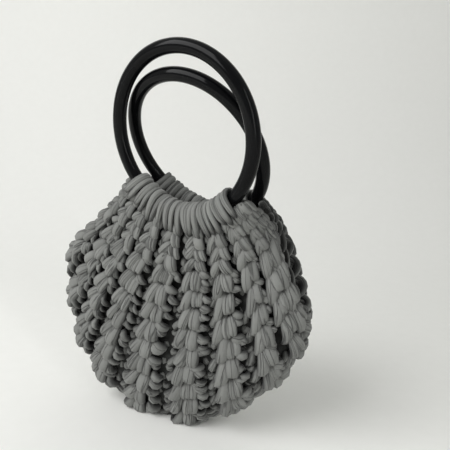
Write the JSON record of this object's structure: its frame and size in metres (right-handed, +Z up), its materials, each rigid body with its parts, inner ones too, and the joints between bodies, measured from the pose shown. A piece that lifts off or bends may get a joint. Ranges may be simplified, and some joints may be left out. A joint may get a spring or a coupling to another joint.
{
  "type": "ring handle bag",
  "caption": "Shell-shaped handbag of thick crocheted yarn in fanned ribs, open at the top, with a pair of glossy round ring handles.",
  "frame": {"origin": "centre of the outer box at the foot of the bag, on the surface it stands on", "axes": "+Z up through the handles, +X to the bag's right seen from the front, -Y out of the front panel"},
  "size_m": [0.2666, 0.1156, 0.3466],
  "materials": {
    "yarn": "matte",
    "resin": "gloss"
  },
  "bodies": {
    "root": {"front_handle_ring": "resin", "back_handle_ring": "resin", "front_ring_wrap": "yarn", "back_ring_wrap": "yarn", "front_panel": "yarn", "back_panel": "yarn"}
  },
  "joints": []
}
